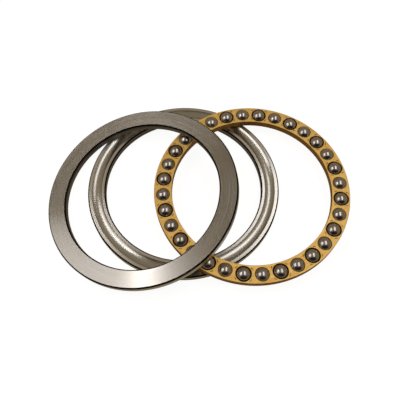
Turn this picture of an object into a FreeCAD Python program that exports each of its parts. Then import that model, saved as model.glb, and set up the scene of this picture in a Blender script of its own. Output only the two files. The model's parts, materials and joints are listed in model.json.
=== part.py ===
"""Thrust ball bearing, single direction, with its three units laid open on a surface.

The housing washer lies flat with its raceway up. The machined brass cage lies on it, with a ball in
every pocket. The shaft washer leans on the balls with its raceway down and one edge on the surface.

Millimetres and degrees. Z is up, the surface is the plane Z = 0, and the origin is in that plane, in
the middle of the ground that the three units cover.
"""
import FreeCAD, Part
import math
import os

import Sketcher
from FreeCAD import Placement, Rotation, Vector

# ---------------------------------------------------------------- driving dimensions
SIZES = {
    # washers
    "bore_dia": 200.0,  # bore of the shaft washer
    "ring_width": 25.0,  # from the shaft washer's bore out to the housing washer's rim
    "housing_bore_step": 2.0,  # housing washer's bore lies this far outside the shaft washer's
    "shaft_rim_step": 1.5,  # shaft washer's rim lies this far inside the housing washer's
    "bearing_height": 37.0,  # of the bearing put together
    "washer_chamfer": 1.7,
    # raceways and balls
    "ball_dia": 19.05,
    "race_shift": 0.75,  # middle of the raceway, outwards from the middle of the ring
    "groove_depth": 2.0,
    "groove_openness": 0.54,  # radius of the raceway's section over the ball's diameter
    # cage
    "cage_thickness": 9.3,
    "cage_edge": 0.35,  # broken edge
    "pocket_gap": 0.3,  # between a ball and its pocket
    "pocket_rim": 1.5,  # brass between a pocket and the cage's side
    "pocket_web": 2.4,  # least brass between two pockets
    "mouth_lip": 0.13,  # how far a pocket's mouth is closed in over the ball
    # marks of the punch that closes each mouth
    "mark_length": 3.6,
    "mark_width": 1.2,
    "mark_gap": 2.2,  # from the mouth's edge to the middle of the mark
    "mark_angle": 52.0,  # from the cage's radius through the ball
    # where each unit lies
    "housing_x": -18.9,
    "housing_y": 9.0,
    "cage_x": 68.7,
    "cage_y": -4.1,
    "shaft_x": -70.1,  # middle of the shaft washer's race side
    "shaft_y": -10.4,
    "first_ball_angle": 93.1,
    "lying_gap": 0.3,  # between units that lie on each other
    "floor_gap": 0.15,  # under the leaning washer's edge
}
STEEPEST_LEAN = 45.0
LEAN_TRIES = 30  # each halves what is left of the range
ROUND_SAMPLES = 360
LAND_SAMPLES = 3

doc = FreeCAD.newDocument("thrust_ball_bearing")
sheet = doc.addObject("Spreadsheet::Sheet", "sizes")
for row, (alias, number) in enumerate(SIZES.items(), start=1):
    sheet.set(f"A{row}", alias)
    sheet.set(f"B{row}", str(number))
    sheet.setAlias(f"B{row}", alias)
doc.recompute()

# ---------------------------------------------------------------- lengths that follow from them
SHAFT_BORE = "(sizes.bore_dia / 2)"
HOUSING_BORE = f"({SHAFT_BORE} + sizes.housing_bore_step)"
HOUSING_RIM = f"({SHAFT_BORE} + sizes.ring_width)"
SHAFT_RIM = f"({HOUSING_RIM} - sizes.shaft_rim_step)"
PITCH = f"({SHAFT_BORE} + sizes.ring_width / 2 + sizes.race_shift)"
BALL = "(sizes.ball_dia / 2)"
WASHER = "((sizes.bearing_height - sizes.ball_dia) / 2 + sizes.groove_depth)"
GROOVE = "(sizes.groove_openness * sizes.ball_dia)"
HALF_GROOVE = f"sqrt(({GROOVE})^2 - ({GROOVE} - sizes.groove_depth)^2)"
POCKET = f"({BALL} + sizes.pocket_gap)"
CAGE_BORE = f"({PITCH} - {POCKET} - sizes.pocket_rim)"
CAGE_RIM = f"({PITCH} + {POCKET} + sizes.pocket_rim)"
MOUTH = f"({BALL} - sizes.mouth_lip)"
PAIRS = f"floor(pi * {PITCH} / (2 * {POCKET} + sizes.pocket_web))"  # one mouth up, one mouth down
STEP = f"(180 / {PAIRS})"  # angle from one pocket to the next
BALL_HEIGHT = f"({WASHER} + sizes.lying_gap + {BALL})"


def value(expression):
    """The number that an expression in the sheet's sizes gives."""
    return float(sheet.evalExpression(expression))


# ---------------------------------------------------------------- sketches and features
def origin_item(body, role):
    """One of a body's own origin planes or axes."""
    return next(item for item in body.Origin.OriginFeatures if item.Role == role)


def new_sketch(body, name, plane, offset=None, turn=None):
    """A sketch on an origin plane. offset holds three expressions, turn an axis and an expression."""
    sketch = body.newObject("Sketcher::SketchObject", name)
    sketch.AttachmentSupport = [(origin_item(body, plane), "")]
    sketch.MapMode = "FlatFace"
    if turn:
        axis, angle = turn
        sketch.AttachmentOffset = Placement(Vector(), Rotation(axis, value(angle)))
    if offset:
        for letter, expression in zip("xyz", offset):
            sketch.setExpression(f"AttachmentOffset.Base.{letter}", expression)
    return sketch


def bind(sketch, kind, *where, to):
    """Add a dimension to the sketch and tie it to an expression."""
    index = sketch.addConstraint(Sketcher.Constraint(kind, *where, value(to)))
    sketch.setExpression(f"Constraints[{index}]", to)


def outline(sketch, corners, arcs=None):
    """Close a loop, anticlockwise, through corners given as pairs of expressions ("0" is an axis).

    arcs gives, for the side that leaves a corner, its radius and +1 if it bulges or -1 if it is hollow.
    """
    arcs = arcs or {}
    spots = [Vector(value(across), value(up), 0) for across, up in corners]
    ends = []
    for side, start in enumerate(spots):
        finish = spots[(side + 1) % len(spots)]
        if side not in arcs:
            ends.append((sketch.addGeometry(Part.LineSegment(start, finish)), 1, 2))
            continue
        radius, bulge = arcs[side]
        chord = finish - start
        left = Vector(-chord.y, chord.x, 0).normalize() * bulge
        rise = math.sqrt(max(value(radius) ** 2 - (chord.Length / 2) ** 2, 0))
        centre = start + chord / 2 + left * rise
        first, last = (start, finish) if bulge > 0 else (finish, start)
        angles = [math.atan2(spot.y - centre.y, spot.x - centre.x) for spot in (first, last)]
        circle = Part.Circle(centre, Vector(0, 0, 1), value(radius))
        curve = sketch.addGeometry(Part.ArcOfCircle(circle, *angles))
        ends.append((curve, 1, 2) if bulge > 0 else (curve, 2, 1))
        bind(sketch, "Radius", curve, to=radius)
    for side, (curve, begin, _) in enumerate(ends):
        before, _, finish = ends[side - 1]
        sketch.addConstraint(Sketcher.Constraint("Coincident", before, finish, curve, begin))
        for kind, axis, expression in zip(("DistanceX", "DistanceY"), (-2, -1), corners[side]):
            if expression == "0":
                sketch.addConstraint(Sketcher.Constraint("PointOnObject", curve, begin, axis))
            else:
                bind(sketch, kind, -1, 1, curve, begin, to=expression)


def turned(body, kind, name, sketch, axis):
    """A full turn of the sketch about one of its own axes, added to the body or cut from it."""
    feature = body.newObject(kind, name)
    feature.Profile = sketch
    feature.ReferenceAxis = (sketch, [axis])
    feature.Angle = 360
    sketch.Visibility = False
    doc.recompute()
    return feature


# ---------------------------------------------------------------- washers
def washer(name, bore, rim):
    """A ring lying on its flat back, with chamfered edges and the raceway turned in its upper side."""
    chamfer = "sizes.washer_chamfer"
    body = doc.addObject("PartDesign::Body", name)
    body.Label = name
    section = new_sketch(body, f"{name}_section", "XZ_Plane")
    corners = [
        (f"{bore} + {chamfer}", "0"),
        (f"{rim} - {chamfer}", "0"),
        (rim, chamfer),
        (rim, f"{WASHER} - {chamfer}"),
        (f"{rim} - {chamfer}", WASHER),
        (f"{PITCH} + {HALF_GROOVE}", WASHER),
        (f"{PITCH} - {HALF_GROOVE}", WASHER),
        (f"{bore} + {chamfer}", WASHER),
        (bore, f"{WASHER} - {chamfer}"),
        (bore, chamfer),
    ]
    outline(section, corners, arcs={5: (GROOVE, -1)})
    turned(body, "PartDesign::Revolution", f"{name}_ring", section, "V_Axis")
    return body


# ---------------------------------------------------------------- cage
def pocket(body, name, angle, mouth_up):
    """A round seat for one ball, open a little on one side and wide enough on the other to load it."""
    level = f"sizes.cage_thickness / 2 {'-' if mouth_up else '+'} {POCKET}"
    turn = (Vector(0, 1, 0), angle)
    place = (f"{PITCH} * cos({angle})", level, f"-{PITCH} * sin({angle})")
    profile = new_sketch(body, f"{name}_profile", "XZ_Plane", place, turn)
    if not mouth_up:
        profile.AttachmentOffset = profile.AttachmentOffset * Placement(Vector(), Rotation(0, 0, 180))
    meeting = f"{POCKET} + sqrt({POCKET}^2 - {MOUTH}^2)"
    corners = [("0", "0"), (MOUTH, meeting), (MOUTH, f"2 * {POCKET}"), ("0", f"2 * {POCKET}")]
    outline(profile, corners, arcs={0: (POCKET, 1)})
    return turned(body, "PartDesign::Groove", name, profile, "V_Axis")


def punch_marks(body, name, angle, level):
    """Four round-bottomed dents around a mouth, each along the mouth's edge."""
    dents = []
    reach = f"({MOUTH} + sizes.mark_gap)"
    half = "sizes.mark_length / 2"
    radius = "sizes.mark_width / 2"
    bearings = ("sizes.mark_angle", "180 - sizes.mark_angle", "180 + sizes.mark_angle", "-sizes.mark_angle")
    for number, bearing in enumerate(bearings, start=1):
        out = f"({angle} + {bearing})"
        across = f"{PITCH} * cos({angle}) + {reach} * cos({out}) + {half} * sin({out})"
        along = f"{PITCH} * sin({angle}) + {reach} * sin({out}) - {half} * cos({out})"
        turn = (Vector(0, 0, 1), f"{out} + 90")
        dent = new_sketch(body, f"{name}_profile_{number}", "XY_Plane", (across, along, level), turn)
        end = f"sizes.mark_length - {radius}"
        corners = [("0", "0"), ("sizes.mark_length", "0"), (end, radius), (radius, radius)]
        outline(dent, corners, arcs={1: (radius, 1), 3: (radius, 1)})
        dents.append(turned(body, "PartDesign::Groove", f"{name}_{number}", dent, "H_Axis"))
    return dents


def around(body, name, features):
    """Repeat features around the cage, as often as there are pockets with their mouth on one side."""
    pattern = body.newObject("PartDesign::PolarPattern", name)
    pattern.Originals = features
    pattern.Axis = (origin_item(body, "Z_Axis"), [""])
    pattern.Angle = 360
    pattern.Occurrences = int(value(PAIRS))
    pattern.setExpression("Occurrences", PAIRS)
    body.Tip = pattern
    doc.recompute()


def ball_cage():
    """A solid ring with its pockets' mouths up and down by turns, so that no ball falls out."""
    edge = "sizes.cage_edge"
    top = "sizes.cage_thickness"
    body = doc.addObject("PartDesign::Body", "cage")
    body.Label = "cage"
    section = new_sketch(body, "cage_section", "XZ_Plane")
    corners = [
        (f"{CAGE_BORE} + {edge}", "0"),
        (f"{CAGE_RIM} - {edge}", "0"),
        (CAGE_RIM, edge),
        (CAGE_RIM, f"{top} - {edge}"),
        (f"{CAGE_RIM} - {edge}", top),
        (f"{CAGE_BORE} + {edge}", top),
        (CAGE_BORE, f"{top} - {edge}"),
        (CAGE_BORE, edge),
    ]
    outline(section, corners)
    turned(body, "PartDesign::Revolution", "cage_ring", section, "V_Axis")
    for side, angle, level in (("down", "0", "0"), ("up", f"-{STEP}", top)):
        seat = pocket(body, f"pocket_{side}", angle, mouth_up=side == "up")
        dents = punch_marks(body, f"mark_{side}", angle, level)
        around(body, f"pockets_{side}", [seat] + dents)
    return body


# ---------------------------------------------------------------- how the shaft washer leans
def ring_gap(reach, height, inner, outer, bottom, top):
    """Distance from a point, given by its radius and height, to a ring of rectangular section."""
    return math.hypot(max(inner - reach, reach - outer, 0), max(bottom - height, height - top, 0))


def face_radii():
    """Radii spread over the two flat lands beside the shaft washer's raceway."""
    chamfer = value("sizes.washer_chamfer")
    lands = (
        (value(SHAFT_BORE) + chamfer, value(f"{PITCH} - {HALF_GROOVE}")),
        (value(f"{PITCH} + {HALF_GROOVE}"), value(SHAFT_RIM) - chamfer),
    )
    return [low + (high - low) * n / LAND_SAMPLES for low, high in lands for n in range(LAND_SAMPLES + 1)]


def shaft_washer_placement():
    """Lean the washer towards the cage by the least angle at which it clears everything under it.

    Its far edge is on the surface. The balls are taken as a full ring, so the washer clears them and
    the cage however far the cage has turned.
    """
    housing = Vector(value("sizes.housing_x"), value("sizes.housing_y"), 0)
    cage = Vector(value("sizes.cage_x"), value("sizes.cage_y"), 0)
    middle = Vector(value("sizes.shaft_x"), value("sizes.shaft_y"), 0)
    upright = Vector(0, 0, 1)
    heading = (cage - middle).normalize()
    side = upright.cross(heading)
    edge = value(f"{SHAFT_RIM} - sizes.washer_chamfer")
    thickness, pitch, ball, level = (value(size) for size in (WASHER, PITCH, BALL, BALL_HEIGHT))
    housing_walls = value(HOUSING_BORE), value(HOUSING_RIM), 0, thickness
    half = value("sizes.cage_thickness") / 2
    cage_walls = value(CAGE_BORE), value(CAGE_RIM), level - half, level + half
    turns = [math.tau * n / ROUND_SAMPLES for n in range(ROUND_SAMPLES)]
    rounds = [(radius * math.cos(turn), radius * math.sin(turn)) for radius in face_radii() for turn in turns]

    def gap_below(point):
        from_cage = math.hypot(point.x - cage.x, point.y - cage.y)
        from_housing = math.hypot(point.x - housing.x, point.y - housing.y)
        return min(
            math.hypot(from_cage - pitch, point.z - level) - ball,
            ring_gap(from_cage, point.z, *cage_walls),
            ring_gap(from_housing, point.z, *housing_walls),
        )

    def race_side(lean):
        """Middle of the race side, and the direction in which that side rises."""
        base = middle + upright * (value("sizes.floor_gap") + edge * math.sin(lean))
        return base, heading * math.cos(lean) + upright * math.sin(lean)

    def clears(lean):
        base, rise = race_side(lean)
        gap = value("sizes.lying_gap")
        return all(gap_below(base + rise * out + side * along) >= gap for out, along in rounds)

    low, high = 0, math.radians(STEEPEST_LEAN)
    for _ in range(LEAN_TRIES):
        lean = (low + high) / 2
        low, high = (low, lean) if clears(lean) else (lean, high)
    base, rise = race_side(high)
    up = rise.cross(side)
    return Placement(base + up * thickness, Rotation(upright, -up))


# ---------------------------------------------------------------- the bearing
def bearing():
    """Every piece, lying where it lies."""
    housing_washer = washer("housing_washer", HOUSING_BORE, HOUSING_RIM)
    housing_washer.setExpression("Placement.Base.x", "sizes.housing_x")
    housing_washer.setExpression("Placement.Base.y", "sizes.housing_y")
    shaft_washer = washer("shaft_washer", SHAFT_BORE, SHAFT_RIM)
    shaft_washer.Placement = shaft_washer_placement()
    cage = ball_cage()
    cage.Placement = Placement(Vector(), Rotation(Vector(0, 0, 1), value("sizes.first_ball_angle")))
    cage.setExpression("Placement.Base.x", "sizes.cage_x")
    cage.setExpression("Placement.Base.y", "sizes.cage_y")
    cage.setExpression("Placement.Base.z", f"{BALL_HEIGHT} - sizes.cage_thickness / 2")
    balls = []
    for number in range(2 * int(value(PAIRS))):
        ball = doc.addObject("Part::Sphere", f"ball_{number + 1:02d}")
        ball.Label = f"ball_{number + 1:02d}"
        ball.setExpression("Radius", BALL)
        angle = f"(sizes.first_ball_angle - {number} * {STEP})"
        ball.setExpression("Placement.Base.x", f"sizes.cage_x + {PITCH} * cos({angle})")
        ball.setExpression("Placement.Base.y", f"sizes.cage_y + {PITCH} * sin({angle})")
        ball.setExpression("Placement.Base.z", BALL_HEIGHT)
        balls.append(ball)
    doc.recompute()
    return [housing_washer, shaft_washer, cage] + balls


def export(pieces):
    """Stop if anything in the document failed, then write each piece to a file named by its label."""
    for item in doc.Objects:
        if {"Invalid", "Error"} & set(item.State):
            raise RuntimeError(f"{item.Name}: {item.State}")
    for piece in pieces:
        if piece.Shape.isNull() or not piece.Shape.isValid() or len(piece.Shape.Solids) != 1:
            raise RuntimeError(f"{piece.Label} is not one valid solid")
    os.makedirs("parts", exist_ok=True)
    for piece in pieces:
        piece.Shape.exportStep(f"parts/{piece.Label}.step")


export(bearing())
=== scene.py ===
"""Looks of a thrust ball bearing laid open: two ground washers, a brass cage and its polished balls.

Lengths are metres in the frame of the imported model, but millimetres for places on a ring and for patterns.
"""
import json
import math

import bpy
from mathutils import Matrix, Vector


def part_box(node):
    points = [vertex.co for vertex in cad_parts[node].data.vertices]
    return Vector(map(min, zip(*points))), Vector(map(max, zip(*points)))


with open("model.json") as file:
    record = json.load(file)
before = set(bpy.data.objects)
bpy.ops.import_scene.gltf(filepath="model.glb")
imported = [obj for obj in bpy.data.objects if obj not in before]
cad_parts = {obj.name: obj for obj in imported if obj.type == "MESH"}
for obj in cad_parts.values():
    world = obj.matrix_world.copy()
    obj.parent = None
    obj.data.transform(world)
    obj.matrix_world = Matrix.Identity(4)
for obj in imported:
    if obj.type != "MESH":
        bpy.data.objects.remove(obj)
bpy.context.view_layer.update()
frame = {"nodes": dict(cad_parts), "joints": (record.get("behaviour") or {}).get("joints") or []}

MM = 0.001

MATH = "ShaderNodeMath"
VECTOR_MATH = "ShaderNodeVectorMath"
RANGE = "ShaderNodeMapRange"
MIX = "ShaderNodeMix"
NOISE = "ShaderNodeTexNoise"
PLACE = "ShaderNodeTexCoord"
BUMP = "ShaderNodeBump"
SHADER = "ShaderNodeBsdfPrincipled"
RESULT = "ShaderNodeOutputMaterial"


# ---------------------------------------------------------------- where the rings are
def joint(name):
    return next(item for item in frame["joints"] if item["name"] == name)


def middle_of(node):
    low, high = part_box(node)
    return (low + high) / 2


UP = Vector((0, 0, 1))
HOUSING_MIDDLE = middle_of("housing_washer")
SHAFT_MIDDLE = Vector(joint("shaft_washer_spin")["pos_m"])
SHAFT_UP = Vector(joint("shaft_washer_spin")["axis"])
CAGE_MIDDLE = Vector(joint("cage_spin")["pos_m"])
BALLS = sorted(name for name in frame["nodes"] if name.startswith("ball_"))
PITCH = (middle_of(BALLS[0]) - CAGE_MIDDLE).length / MM
HALF_WASHER = HOUSING_MIDDLE.z / MM  # half its thickness, as it lies on the floor
HALF_RACEWAY = 6.1  # from the middle of the raceway to its edge
WIDE_MOUTH = 9.4  # radius of the mouth that every second pocket has in the cage's top face
NARROW_MOUTH = 8.65  # radius of the opening that the others have there
HALF_CAGE = (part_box("cage")[1].x - CAGE_MIDDLE.x) / MM - PITCH


# ---------------------------------------------------------------- node trees
def srgb(code):
    """A hex sRGB colour as linear RGBA."""
    parts = [int(code[i : i + 2], 16) / 255 for i in (1, 3, 5)]
    linear = [part / 12.92 if part <= 0.04045 else ((part + 0.055) / 1.055) ** 2.4 for part in parts]
    return (*linear, 1)


def add(tree, kind, inputs=(), out=0, **settings):
    """Add a node, give it its settings and inputs, and return one of its outputs, if it has any."""
    node = tree.nodes.new(kind)
    for name, setting in settings.items():
        setattr(node, name, setting)
    named = inputs if isinstance(inputs, dict) else dict(enumerate(inputs))
    for key, source in named.items():
        if isinstance(source, bpy.types.NodeSocket):
            tree.links.new(source, node.inputs[key])
        else:
            node.inputs[key].default_value = source
    return node.outputs[out] if node.outputs else None


def new_material(name):
    """A material with an empty node tree, and the tree."""
    material = bpy.data.materials.new(name)
    material.use_nodes = True
    material.node_tree.nodes.clear()
    return material, material.node_tree


class RingPlace:
    """Where a point is on a ring: round it, out from its axis and up along it, in millimetres.

    Level is 1 where the skin is flat across the axis, 0.7 on a chamfer and 0 on a wall.
    """

    def __init__(self, tree, middle, up):
        side = up.orthogonal().normalized()
        ahead = up.cross(side)
        self.middle, self.side, self.ahead = middle, side, ahead
        here = add(tree, PLACE, out="Object")
        offset = add(tree, VECTOR_MATH, [here, middle], operation="SUBTRACT")
        x = add(tree, VECTOR_MATH, [offset, side / MM], out="Value", operation="DOT_PRODUCT")
        y = add(tree, VECTOR_MATH, [offset, ahead / MM], out="Value", operation="DOT_PRODUCT")
        self.height = add(tree, VECTOR_MATH, [offset, up / MM], out="Value", operation="DOT_PRODUCT")
        flat = add(tree, "ShaderNodeCombineXYZ", [x, y])
        self.radius = add(tree, VECTOR_MATH, [flat], out="Value", operation="LENGTH")
        self.round = add(tree, VECTOR_MATH, [flat], operation="NORMALIZE")
        self.angle = add(tree, MATH, [y, x], operation="ARCTAN2")
        off_pitch = add(tree, MATH, [self.radius, PITCH], operation="SUBTRACT")
        self.off_pitch = add(tree, MATH, [off_pitch], operation="ABSOLUTE")
        normal = add(tree, PLACE, out="Normal")
        facing = add(tree, VECTOR_MATH, [normal, up], out="Value", operation="DOT_PRODUCT")
        self.level = add(tree, MATH, [facing], operation="ABSOLUTE")
        self.tree = tree

    def from_pockets(self, first_ball):
        """Distance from the nearest pocket's middle, for every second pocket from the one of that ball."""
        tree = self.tree
        arm = middle_of(first_ball) - self.middle
        start = math.atan2(arm.dot(self.ahead), arm.dot(self.side))
        half_step = math.tau / len(BALLS)
        turn = add(tree, MATH, [self.angle, start], operation="SUBTRACT")
        turn = add(tree, MATH, [turn, half_step, -half_step], operation="WRAP")
        along = add(tree, MATH, [turn, self.radius], operation="MULTIPLY")
        flat = add(tree, "ShaderNodeCombineXYZ", [along, self.off_pitch])
        return add(tree, VECTOR_MATH, [flat], out="Value", operation="LENGTH")

    def streaks(self, width, length):
        """Noise drawn out round the ring, like the marks of a tool on a ring that turns under it."""
        tree = self.tree
        around = add(tree, VECTOR_MATH, {0: self.round, "Scale": PITCH / length}, operation="SCALE")
        out_and_up = add(tree, MATH, [self.radius, self.height], operation="ADD")
        across = add(tree, MATH, [out_and_up, width], operation="DIVIDE")
        inputs = {"Vector": around, "W": across, "Scale": 1.0, "Detail": 2.0}
        return add(tree, NOISE, inputs, noise_dimensions="4D")


# ---------------------------------------------------------------- materials
def ground_bearing_steel(name, middle, up, race_up, anisotropy):
    """Bearing steel, hardened through and then ground on every face but its broken edges.

    The wheel leaves a fine lay round the ring, so a lamp's reflection spreads across the ring and ends
    sharply along it. The raceway is darker, with a faint ripple where the wheel chattered. The chamfers
    keep the near-black skin that the furnace left, and handling leaves a warm film. The bore walls are
    darkened with painted shade, and a thin dark line of painted shade runs along each edge of the raceway.
    """
    material, tree = new_material(name)
    place = RingPlace(tree, middle, up)
    lay = place.streaks(width=1.6, length=60)  # the real lay is 0.05 mm wide; drawn coarse enough to show
    film_size = 35
    here = add(tree, PLACE, out="Object")
    film = add(tree, NOISE, {"Vector": here, "Scale": 1 / (film_size * MM), "Detail": 3.0})
    film_most = 0.25
    film = add(tree, RANGE, [film, 0.35, 0.75, 0, film_most])

    race_side = add(tree, RANGE, [place.height, 0, HALF_WASHER / 2, 1 - race_up, race_up])
    groove = add(tree, RANGE, [place.off_pitch, HALF_RACEWAY - 0.1, HALF_RACEWAY, 1, 0])
    raceway = add(tree, MATH, [race_side, groove], operation="MULTIPLY")
    off_wall = add(tree, RANGE, [place.level, 0.3, 0.5, 0, 1])
    off_flat = add(tree, RANGE, [place.level, 0.74, 0.79, 1, 0])
    chamfer = add(tree, MATH, [off_wall, off_flat], operation="MULTIPLY")
    # Painted shade: a thin dark line along each edge of the raceway, on its side of the washer.
    edge_reach, edge_shade_strength = 0.4, 0.6
    edge_painted_shade = add(tree, MATH, [place.off_pitch, HALF_RACEWAY, edge_reach], operation="COMPARE")
    edge_painted_shade = add(tree, MATH, [edge_painted_shade, race_side], operation="MULTIPLY")
    edge_painted_shade = add(tree, MATH, [edge_painted_shade, edge_shade_strength], operation="MULTIPLY")
    # Painted shade: the walls of the bore are darkened towards near-black.
    bore_shade_strength = 0.7
    wall = add(tree, RANGE, [place.level, 0.1, 0.3, bore_shade_strength, 0])
    bore_end = PITCH - HALF_RACEWAY - 1
    inner = add(tree, RANGE, [place.radius, bore_end - 1, bore_end, 1, 0])
    bore = add(tree, MATH, [wall, inner], operation="MULTIPLY")
    # The near-black mask: real furnace scale on the chamfers, plus painted shade in the bore and along the
    # raceway's edges.
    scale_and_painted_shade = add(tree, MATH, [chamfer, edge_painted_shade], operation="MAXIMUM")
    scale_and_painted_shade = add(tree, MATH, [scale_and_painted_shade, bore], operation="MAXIMUM")

    back = add(tree, MIX, {0: lay, 6: srgb("#98948E"), 7: srgb("#B6B2AC")}, 2, data_type="RGBA")
    land = add(tree, MIX, {0: lay, 6: srgb("#D2CFC9"), 7: srgb("#ECE9E4")}, 2, data_type="RGBA")
    steel = add(tree, MIX, {0: race_side, 6: back, 7: land}, 2, data_type="RGBA")
    steel = add(tree, MIX, {0: raceway, 6: steel, 7: srgb("#BFBCB6")}, 2, data_type="RGBA")
    steel = add(tree, MIX, {0: film, 6: steel, 7: srgb("#9F9586")}, 2, data_type="RGBA")
    # Near-black where the mask is: real scale on the chamfers, painted shade in the bore and at the raceway
    # edges.
    colour = add(tree, MIX, {0: scale_and_painted_shade, 6: steel, 7: srgb("#15110F")}, 2, data_type="RGBA")

    rough = add(tree, RANGE, [lay, 0.3, 0.7, 0.20, 0.26])
    scale_and_shade_rough_adds = 0.2
    rough = add(tree, MATH, [scale_and_painted_shade, scale_and_shade_rough_adds, rough], operation="MULTIPLY_ADD")
    ripple_step = 3.0  # from crest to crest
    ripples = round(math.tau * PITCH / ripple_step)
    ripple = add(tree, MATH, [place.angle, ripples], operation="MULTIPLY")
    ripple = add(tree, MATH, [ripple], operation="SINE")
    chattered = place.streaks(width=2.5, length=25)
    chattered = add(tree, RANGE, [chattered, 0.45, 0.62, 0, 1])
    ripple = add(tree, MATH, [ripple, chattered], operation="MULTIPLY")
    ripple = add(tree, MATH, [ripple, raceway], operation="MULTIPLY")
    ripple_height = 1.2  # as a share of the lay's
    relief = add(tree, MATH, [ripple, ripple_height, lay], operation="MULTIPLY_ADD")
    lay_depth = 0.015
    bump = add(tree, BUMP, {"Height": relief, "Distance": lay_depth * MM, "Strength": 0.5})
    shader = {
        "Base Color": colour,
        "Metallic": 1.0,
        "Roughness": rough,
        "Anisotropic": anisotropy,
        "Anisotropic Rotation": 0.25,
        "Tangent": add(tree, "ShaderNodeTangent", direction_type="RADIAL", axis="Z"),
        "Normal": bump,
    }
    add(tree, RESULT, {"Surface": add(tree, SHADER, shader)})
    return material


def machined_brass():
    """Leaded brass turned on a lathe and left bare, so its skin has gone warm and cloudy.

    Fine turning rings run round it. Its rim walls are darkened towards brown with painted shade, and painted
    shade darkens the pocket walls and a ring round each mouth, where the ball leaves a shadowed gap.
    """
    material, tree = new_material("machined_brass")
    place = RingPlace(tree, CAGE_MIDDLE, UP)
    lay = place.streaks(width=1.2, length=40)  # the real rings are 0.1 mm apart; drawn coarser to show
    cloud_size = 4
    here = add(tree, PLACE, out="Object")
    cloud = add(tree, NOISE, {"Vector": here, "Scale": 1 / (cloud_size * MM), "Detail": 4.0})
    gold = add(tree, MIX, {0: cloud, 6: srgb("#E6B350"), 7: srgb("#FFE59C")}, 2, data_type="RGBA")
    tarnish_most, rim_shade_strength, pocket_shade_most = 0.5, 0.75, 0.9
    tarnish = add(tree, RANGE, [lay, 0.3, 0.7, 0, tarnish_most])
    gold = add(tree, MIX, {0: tarnish, 6: gold, 7: srgb("#DCA94E")}, 2, data_type="RGBA")

    # Painted shade: the walls and chamfers of the rims, outside the pockets, are darkened towards brown.
    upright = add(tree, RANGE, [place.level, 0.90, 0.97, 1, 0])
    rim_start = HALF_CAGE - 0.6
    within = add(tree, RANGE, [place.off_pitch, rim_start - 0.3, rim_start, 1, 0])
    pocket_wall = add(tree, MATH, [upright, within], operation="MULTIPLY")
    rim_wall = add(tree, MATH, [upright, pocket_wall], operation="SUBTRACT")
    rim_shade = add(tree, MATH, [rim_wall, rim_shade_strength], operation="MULTIPLY")
    gold = add(tree, MIX, {0: rim_shade, 6: gold, 7: srgb("#7A4A18")}, 2, data_type="RGBA")
    # Painted shade: the pocket walls and a ring round each pocket's mouth are darkened to a near-black
    # brown.
    mouth_shade_edge = WIDE_MOUTH + 0.75
    wide = add(tree, RANGE, [place.from_pockets(BALLS[1]), mouth_shade_edge - 0.4, mouth_shade_edge, 1, 0])
    mouth_shade_edge = NARROW_MOUTH + 0.4
    narrow = add(tree, RANGE, [place.from_pockets(BALLS[0]), mouth_shade_edge - 0.3, mouth_shade_edge, 1, 0])
    mouth_shade = add(tree, MATH, [wide, narrow], operation="MAXIMUM")
    pocket_shade_mask = add(tree, MATH, [pocket_wall, mouth_shade], operation="MAXIMUM")
    pocket_shade = add(tree, MATH, [pocket_shade_mask, pocket_shade_most], operation="MULTIPLY")
    gold = add(tree, MIX, {0: pocket_shade, 6: gold, 7: srgb("#3B1D10")}, 2, data_type="RGBA")

    rough = add(tree, RANGE, [lay, 0.3, 0.7, 0.50, 0.62])
    ring_depth = 0.02
    bump = add(tree, BUMP, {"Height": lay, "Distance": ring_depth * MM, "Strength": 0.5})
    shader = {"Base Color": gold, "Metallic": 1.0, "Roughness": rough, "Normal": bump}
    add(tree, RESULT, {"Surface": add(tree, SHADER, shader)})
    return material


def polished_ball_steel():
    """Chrome steel lapped between plates until it is a mirror, dulled here and there by a film of lubricant.
    """
    material, tree = new_material("polished_ball_steel")
    film_size = 4
    here = add(tree, PLACE, out="Object")
    film = add(tree, NOISE, {"Vector": here, "Scale": 1 / (film_size * MM), "Detail": 3.0})
    tone = add(tree, MIX, {0: film, 6: srgb("#9E9894"), 7: srgb("#BCB6B2")}, 2, data_type="RGBA")
    rough = add(tree, RANGE, [film, 0.3, 0.7, 0.17, 0.25])
    shader = {"Base Color": tone, "Metallic": 1.0, "Roughness": rough}
    add(tree, RESULT, {"Surface": add(tree, SHADER, shader)})
    return material


def coat(node, material):
    """Give a CAD node one material all over."""
    piece = frame["nodes"][node]
    piece.data.materials.clear()
    piece.data.materials.append(material)


housing_steel = ground_bearing_steel("ground_steel_housing", HOUSING_MIDDLE, UP, race_up=1, anisotropy=0.82)
shaft_steel = ground_bearing_steel("ground_steel_shaft", SHAFT_MIDDLE, SHAFT_UP, race_up=0, anisotropy=0.88)
coat("housing_washer", housing_steel)
coat("shaft_washer", shaft_steel)
coat("cage", machined_brass())
ball_steel = polished_ball_steel()
for ball in BALLS:
    coat(ball, ball_steel)


# ---------------------------------------------------------------- studio
def soft_box(name, place, width, height, power):
    """A big diffused lamp that faces the bearing, seen only in what it lights and in reflections."""
    lamp = bpy.data.lights.new(name, "AREA")
    lamp.shape = "RECTANGLE"
    lamp.size, lamp.size_y = width, height
    lamp.energy = power
    lamp.color = srgb("#FCFCFF")[:3]
    back = Vector(place).normalized()
    side = Vector((0, 1, 0)).cross(back).normalized()
    turn = Matrix((side, back.cross(side), back)).transposed()
    box = bpy.data.objects.new(name, lamp)
    box.matrix_world = Matrix.Translation(place) @ turn.to_4x4()
    box.visible_camera = False
    bpy.context.scene.collection.objects.link(box)


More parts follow.
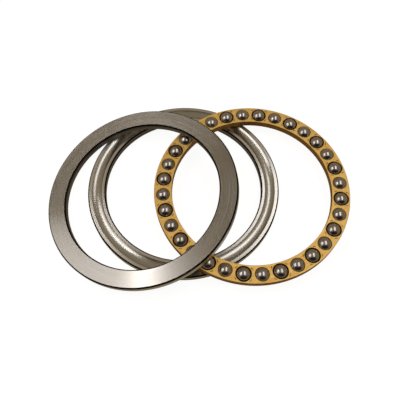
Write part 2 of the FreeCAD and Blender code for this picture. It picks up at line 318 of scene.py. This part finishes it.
def studio_floor():
    """White paper, seen by the camera and shaded by the bearing, but not mirrored in it."""
    material, tree = new_material("white_paper")
    shader = {
        "Base Color": srgb("#7A7A7A"),
        "Roughness": 0.9,
        "Specular IOR Level": 0.0,
        "Emission Color": srgb("#FFFFFF"),
        "Emission Strength": 0.93,
    }
    add(tree, RESULT, {"Surface": add(tree, SHADER, shader)})
    half = 6.0
    corners = [(-half, -half, 0), (half, -half, 0), (half, half, 0), (-half, half, 0)]
    mesh = bpy.data.meshes.new("floor")
    mesh.from_pydata(corners, [], [(0, 1, 2, 3)])
    mesh.materials.append(material)
    floor = bpy.data.objects.new("floor", mesh)
    bpy.context.scene.collection.objects.link(floor)
    floor.visible_glossy = False


def studio_walls():
    """A white backdrop. The metal mirrors a warm grey room instead, with a dark opening in front of it."""
    world = bpy.data.worlds.new("studio_walls")
    bpy.context.scene.world = world
    world.use_nodes = True
    tree = world.node_tree
    tree.nodes.clear()
    way = add(tree, PLACE, out="Generated")
    behind = add(tree, VECTOR_MATH, [way, (0, 1, 0)], out="Value", operation="DOT_PRODUCT")
    in_front = add(tree, RANGE, [behind, -0.65, -0.2, 1, 0], interpolation_type="SMOOTHSTEP")
    height = add(tree, VECTOR_MATH, [way, (0, 0, 1)], out="Value", operation="DOT_PRODUCT")
    above = add(tree, RANGE, [height, 0.0, 0.2, 0, 1], interpolation_type="SMOOTHSTEP")
    aside = add(tree, VECTOR_MATH, [way, (1, 0, 0)], out="Value", operation="DOT_PRODUCT")
    aside = add(tree, MATH, [aside], operation="ABSOLUTE")
    between = add(tree, RANGE, [aside, 0.6, 0.95, 1, 0], interpolation_type="SMOOTHSTEP")
    dark = add(tree, MATH, [in_front, above], operation="MULTIPLY")
    dark = add(tree, MATH, [dark, between], operation="MULTIPLY")
    mirrored = add(tree, MIX, {0: dark, 6: srgb("#978A74"), 7: srgb("#292522")}, 2, data_type="RGBA")
    seen = add(tree, "ShaderNodeLightPath", out="Is Camera Ray")
    colour = add(tree, MIX, {0: seen, 6: mirrored, 7: srgb("#FFFFFF")}, 2, data_type="RGBA")
    add(tree, "ShaderNodeOutputWorld", {"Surface": add(tree, "ShaderNodeBackground", {"Color": colour})})


def camera():
    """Looks down on the three units from in front."""
    lens = bpy.data.cameras.new("camera")
    lens.lens, lens.sensor_width = 45.066, 36
    lens.clip_start, lens.clip_end = 0.01, 50
    target = Vector((2.62, -6.95, 0)) * MM
    elevation, roll, away = math.radians(64.596), math.radians(-0.9006), 660.24 * MM
    back = Vector((0, -math.cos(elevation), math.sin(elevation)))
    eye = bpy.data.objects.new("camera", lens)
    eye.rotation_mode = "QUATERNION"
    eye.rotation_quaternion = Matrix.Rotation(roll, 3, back).to_quaternion() @ back.to_track_quat("Z", "Y")
    eye.location = target + back * away
    bpy.context.scene.collection.objects.link(eye)
    bpy.context.scene.camera = eye


# The left box has a hot tube along its inner side.
soft_box("left_box", (-1.06, -0.04, 1.265), width=0.70, height=1.18, power=3.80)
soft_box("left_box_tube", (-0.750, 0.176, 1.493), width=0.145, height=0.97, power=2.1)
soft_box("right_box", (0.565, 0.160, 1.54), width=0.53, height=1.53, power=5.6)
studio_floor()
studio_walls()
camera()
bpy.context.scene.view_settings.view_transform = "Standard"
